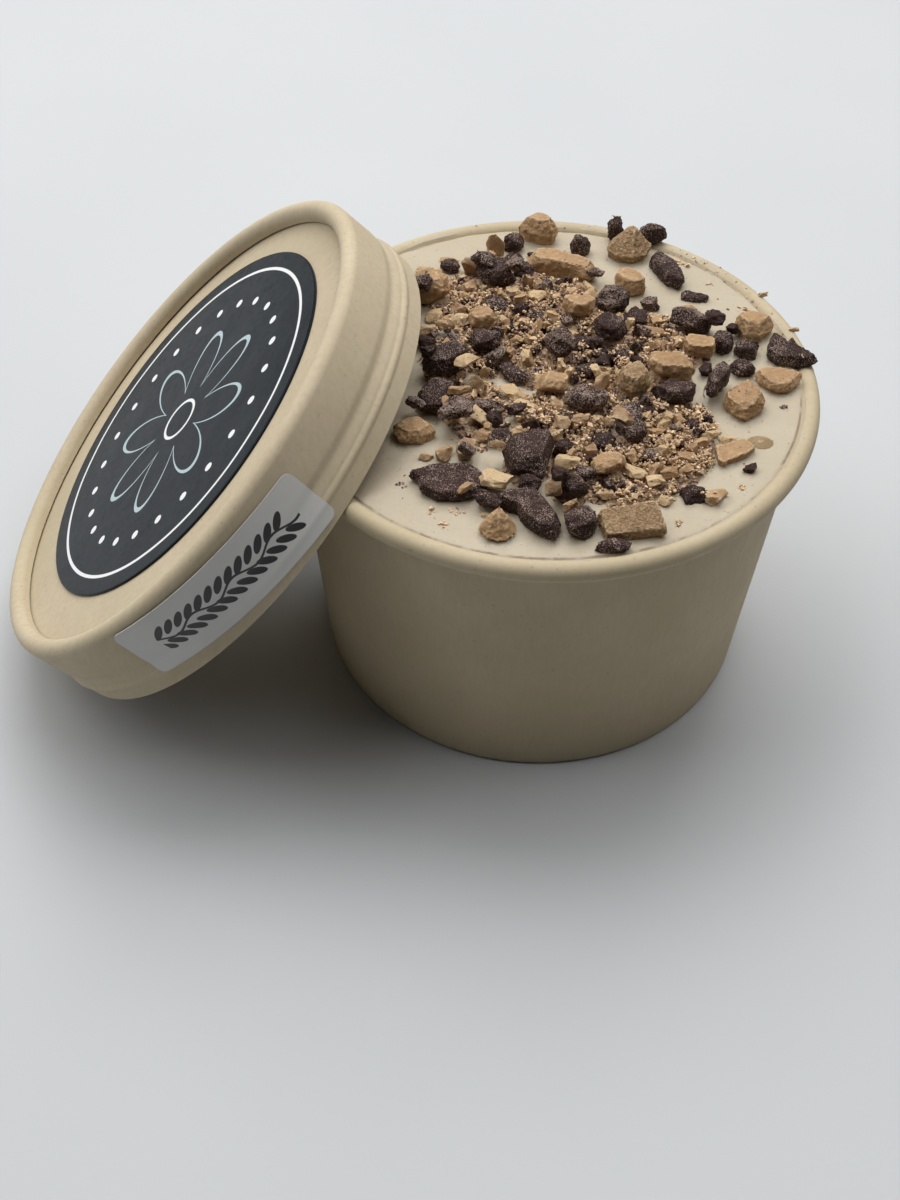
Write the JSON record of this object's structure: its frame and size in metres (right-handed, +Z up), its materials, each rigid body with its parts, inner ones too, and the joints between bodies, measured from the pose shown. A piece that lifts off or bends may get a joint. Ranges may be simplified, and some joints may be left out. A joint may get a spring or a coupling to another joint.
{
  "type": "gelato cup",
  "caption": "Round paper tub filled level with gelato, broken chocolate and peanut butter pieces heaped on top, its paper lid leaning on the rim.",
  "frame": {"origin": "on the floor under the middle of the whole footprint, cup and leaning lid together", "axes": "+Z up, +X from the lid to the cup, +Y away from the side that the long label faces"},
  "size_m": [0.1794, 0.1203, 0.0967],
  "materials": {
    "cup_paper": "unbleached board, matt",
    "lid_paper": "unbleached board, matt, fine fibre grain",
    "gelato": "frozen cream, smooth and scraped",
    "mixed_crumbs": "broken chocolate and peanut butter crumbs",
    "peanut_butter_pieces": "grainy peanut butter filling, matt",
    "chocolate": "frosted chocolate, matt",
    "sticker_film": "glossy film",
    "label_paper": "satin white label paper"
  },
  "bodies": {
    "root": {"chocolate_chunk_01": "chocolate", "chocolate_chunk_02": "chocolate", "chocolate_chunk_03": "chocolate", "chocolate_chunk_04": "chocolate", "chocolate_chunk_05": "chocolate", "chocolate_chunk_06": "chocolate", "chocolate_chunk_07": "chocolate", "chocolate_chunk_08": "chocolate", "chocolate_chunk_09": "chocolate", "chocolate_chunk_10": "chocolate", "chocolate_chunk_11": "chocolate", "chocolate_chunk_12": "chocolate", "chocolate_chunk_13": "chocolate", "chocolate_chunk_14": "chocolate", "chocolate_chunk_15": "chocolate", "chocolate_chunk_16": "chocolate", "chocolate_chunk_17": "chocolate", "chocolate_chunk_18": "chocolate", "chocolate_chunk_19": "chocolate", "chocolate_chunk_20": "chocolate", "chocolate_chunk_21": "chocolate", "chocolate_chunk_22": "chocolate", "chocolate_chunk_23": "chocolate", "chocolate_chunk_24": "chocolate", "chocolate_chunk_25": "chocolate", "chocolate_chunk_26": "chocolate", "chocolate_chunk_27": "chocolate", "chocolate_chunk_28": "chocolate", "chocolate_chunk_29": "chocolate", "cup_base": "cup_paper", "cup_wall": "cup_paper", "flavour_label": "label_paper", "gelato": "gelato", "lid_band": "lid_paper", "lid_panel": "lid_paper", "lid_sticker": "sticker_film", "peanut_chunk_01": "peanut_butter_pieces", "peanut_chunk_02": "peanut_butter_pieces", "peanut_chunk_03": "peanut_butter_pieces", "peanut_chunk_04": "peanut_butter_pieces", "peanut_chunk_05": "peanut_butter_pieces", "peanut_chunk_06": "peanut_butter_pieces", "peanut_chunk_07": "peanut_butter_pieces", "peanut_chunk_08": "peanut_butter_pieces", "peanut_chunk_09": "peanut_butter_pieces", "peanut_chunk_10": "peanut_butter_pieces", "peanut_chunk_11": "peanut_butter_pieces", "peanut_chunk_12": "peanut_butter_pieces", "peanut_chunk_13": "peanut_butter_pieces", "peanut_chunk_14": "peanut_butter_pieces", "peanut_chunk_15": "peanut_butter_pieces", "peanut_chunk_16": "peanut_butter_pieces", "peanut_chunk_17": "peanut_butter_pieces", "peanut_chunk_18": "peanut_butter_pieces", "peanut_chunk_19": "peanut_butter_pieces", "topping_heap": "mixed_crumbs"}
  },
  "joints": []
}
